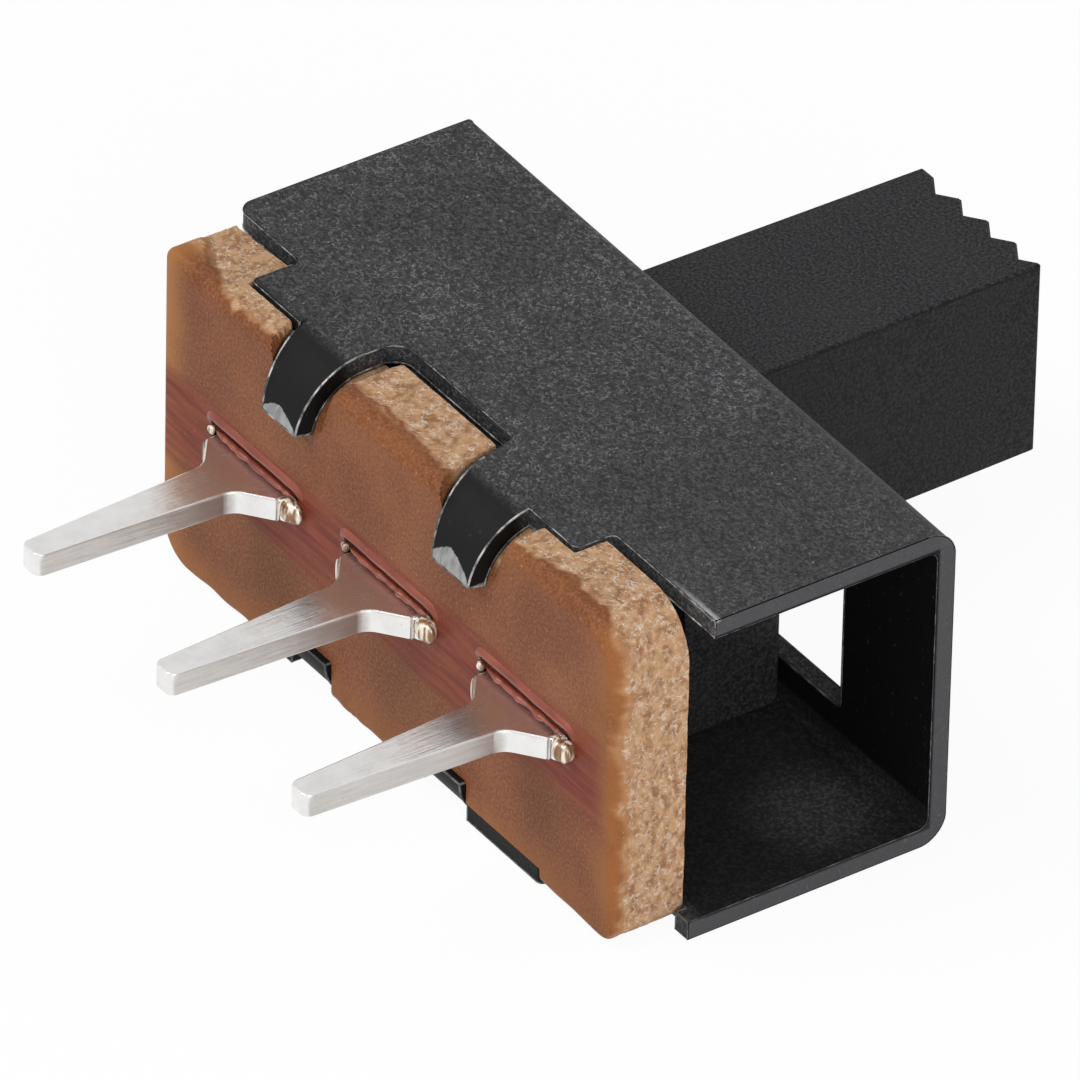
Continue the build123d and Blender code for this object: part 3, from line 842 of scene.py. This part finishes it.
def tinned_metal():
    """Bright tin with fine lines along the pin and dull patches, rougher on the sheared sides and darker
    there as painted shade.
    """
    made = Finish("tinned_metal")
    lines = made.noise(0.05, 3.0, stretch=(1.0, 14.0, 1.0))
    dull = made.noise(0.35, 4.0)
    sheared_and_shaded = made.facing("X").math("ABSOLUTE").step(0.75, 0.95)
    colour = made.mix(dull.step(0.35, 0.75) * 0.4, TIN, tuple(part * 0.78 for part in TIN))
    # Painted shade: the sheared sides are darkened in colour as well as made rougher.
    colour = made.mix(sheared_and_shaded * (0.45 + lines * 0.6), colour, (0.50, 0.47, 0.445))
    pits = made.noise(0.07, 2.0).step(0.70, 0.78)
    colour = made.mix(pits * 0.5, colour, (0.30, 0.28, 0.26))
    rough = 0.14 + dull * 0.14 + lines * 0.08 + sheared_and_shaded * 0.10
    relief = made.bump(lines * 0.6 + dull * 0.4, 0.009)
    return made.shade(Base_Color=colour, Metallic=1.0, Roughness=rough, Normal=relief)


def roll_edges(name, width):
    """Joins a CAD node's triangles, dissolves them into whole flats and rounds the sharp edges."""
    node = nodes[name]
    node.modifiers.new("weld", "WELD").merge_threshold = 0.0005 * MM
    flats = node.modifiers.new("whole_flats", "DECIMATE")
    flats.decimate_type, flats.angle_limit = "DISSOLVE", math.radians(0.4)
    bevel = node.modifiers.new("rolled_edges", "BEVEL")
    bevel.width, bevel.segments, bevel.use_clamp_overlap = width * MM, 2, False
    bevel.limit_method, bevel.angle_limit = "ANGLE", math.radians(35)


dress(tinned_metal(), "terminal_far", "terminal_middle", "terminal_near")
for name in TERMINALS:
    roll_edges("terminal_" + name, 0.03)

# %% [markdown]
# ## Spring bronze
# The clip that bridges two blades is rolled bronze strip. It sits deep inside and is seen only
# from behind or through the slot, so it gets a plain rolled grain along its length.

# %% Clip finish
def spring_bronze():
    """Rolled bronze strip with lines along its length."""
    made = Finish("spring_bronze")
    grain = made.noise(0.12, 3.0, stretch=(8.0, 1.0, 1.0))
    colour = made.mix(grain.step(0.3, 0.7), (0.42, 0.24, 0.11), (0.62, 0.40, 0.20))
    rough, relief = 0.30 + grain * 0.15, made.bump(grain, 0.004)
    return made.shade(Base_Color=colour, Metallic=1.0, Roughness=rough, Normal=relief)


dress(spring_bronze(), "contact_clip")

# %% [markdown]
# ## Staking beads
# Each blade was staked at its near end: a small bead of tin, squeezed up beside the blade. At
# its far end a bright sliver is a painted highlight, a glint, and beside it is a crumb of burr.
# All are surfaces of two angles: an egg that waves.

# %% Beads
def bead_surface(centre, size, seed):
    """Egg over two angles, its girth waving a little round it and flattened at top and bottom."""
    turn = np.linspace(0, 2 * math.pi, 40, endpoint=False)[None, :]
    rise = np.linspace(-math.pi / 2, math.pi / 2, 21)[:, None]
    girth = np.abs(np.cos(rise)) ** 0.7
    wave = 1 + 0.08 * np.cos(5 * turn + seed) + 0.05 * np.cos(3 * turn + 2 * seed)
    level = np.sin(rise) * np.ones_like(turn)
    shape = np.stack([girth * wave * np.cos(turn), girth * wave * np.sin(turn), level], axis=-1)
    return np.asarray(centre) + shape * np.asarray(size)


def bead_tin():
    """Upright stripes: tan and brown for tin and flux, and cream ones as painted highlights."""
    made = Finish("bead_tin")
    stripes = made.noise(0.11, 2.0, stretch=(1.0, 1.0, 7.0))
    # Painted highlight: the cream stripes stand in for upright reflections on the beads.
    colour = made.mix(stripes.step(0.46, 0.60), (0.26, 0.140, 0.070), (0.84, 0.77, 0.66))
    colour = made.mix((1 - stripes).step(0.58, 0.70), colour, (0.09, 0.040, 0.020))
    rough, relief = 0.18 + stripes * 0.2, made.bump(stripes, 0.014)
    return made.shade(Base_Color=colour, Metallic=0.3, Roughness=rough, Normal=relief)


surfaces = []
for seed, place in enumerate(PLACES):
    staked = bead_surface((place + 1.13, FRONT - 0.10, 3.0), (0.24, 0.15, 0.185), seed)
    # Painted highlight: a thin bright sliver placed as the glint at the far end of the shoulder.
    glint = bead_surface((place - 1.06, FRONT - 0.20, 2.80), (0.030, 0.035, 0.20), seed + 4)
    crumb = bead_surface((place - 1.12, FRONT - 0.03, 3.12), (0.08, 0.05, 0.07), seed + 7)
    surfaces += [staked, glint, crumb]
beads = ring_piece("staking_beads", surfaces, 80)
beads.data.materials.append(bead_tin())
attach(beads, "housing")

# %% [markdown]
# ## Floor and light
# A pale floor, a broad soft key from above and in front, a weaker fill from the near end, and a
# pale surround. The floor is lifted to white where the camera or a mirror sees it, and keeps
# the switch's soft shadow.

# %% Stage
FLOOR_SIZE, FLOOR_DROP = 600 * MM, 0.02 * MM
FLOOR_LIFT, WORLD_GREY, WORLD_LIGHT = 0.94, 0.8, 0.42


def pale_floor():
    """Floor finish: pale and matt, and lifted towards white where the camera or a mirror sees it."""
    made = Finish("pale_floor")
    seen = made.node("ShaderNodeLightPath", output="Is Camera Ray")
    for ray in ("Is Glossy Ray", "Is Transmission Ray"):
        seen = seen.math("MAXIMUM", made.node("ShaderNodeLightPath", output=ray))
    matt = made.node("ShaderNodeBsdfDiffuse", {}, {"Color": (0.90, 0.90, 0.90)})
    white = made.node("ShaderNodeEmission", {}, {"Color": (1.0, 1.0, 1.0), "Strength": 1.0})
    both = made.node("ShaderNodeMixShader", {}, {0: seen * FLOOR_LIFT, 1: matt, 2: white})
    made.feed(made.tree.nodes["Material Output"].inputs["Surface"], both)
    made.tree.nodes.remove(made.shader)
    return made.material


corners = np.array([(-1, -1, 0), (1, -1, 0), (1, 1, 0), (-1, 1, 0)]) * FLOOR_SIZE
corners = corners - (0, 0, FLOOR_DROP)
floor_mesh = bpy.data.meshes.new("floor")
floor_mesh.from_pydata(corners.tolist(), [], [(0, 1, 2, 3)])
floor_mesh.materials.append(pale_floor())
floor = bpy.data.objects.new("floor", floor_mesh)
scene.collection.objects.link(floor)


def surround():
    """Pale world: brighter where it is seen or mirrored, softer as light."""
    world = bpy.data.worlds.new("studio")
    world.use_nodes = True
    made = Nodes(world.node_tree)
    seen = made.node("ShaderNodeLightPath", output="Is Camera Ray")
    seen = seen.math("MAXIMUM", made.node("ShaderNodeLightPath", output="Is Glossy Ray"))
    inputs = {"Value": seen, "To Min": WORLD_LIGHT, "To Max": 1.0}
    glow = made.tree.nodes["Background"]
    made.feed(glow.inputs["Color"], (WORLD_GREY, WORLD_GREY, WORLD_GREY))
    made.feed(glow.inputs["Strength"], made.node("ShaderNodeMapRange", {}, inputs))
    return world


scene.world = surround()
scene.view_settings.view_transform = "Standard"


def soft_light(name, place, size, power):
    """A square area lamp at a place in millimetres, facing the switch."""
    lamp = bpy.data.lights.new(name, "AREA")
    lamp.size, lamp.energy = size * MM, power
    made = bpy.data.objects.new(name, lamp)
    where = Vector(place) * MM
    turn = (AIM - where).to_track_quat("-Z", "Y")
    made.matrix_world = Matrix.Translation(where) @ turn.to_matrix().to_4x4()
    scene.collection.objects.link(made)


soft_light("key", (-60, -130, 200), 160, 0.36)
soft_light("fill", (190, -70, 90), 140, 0.28)
print("lights", [lamp.name for lamp in bpy.data.lights])
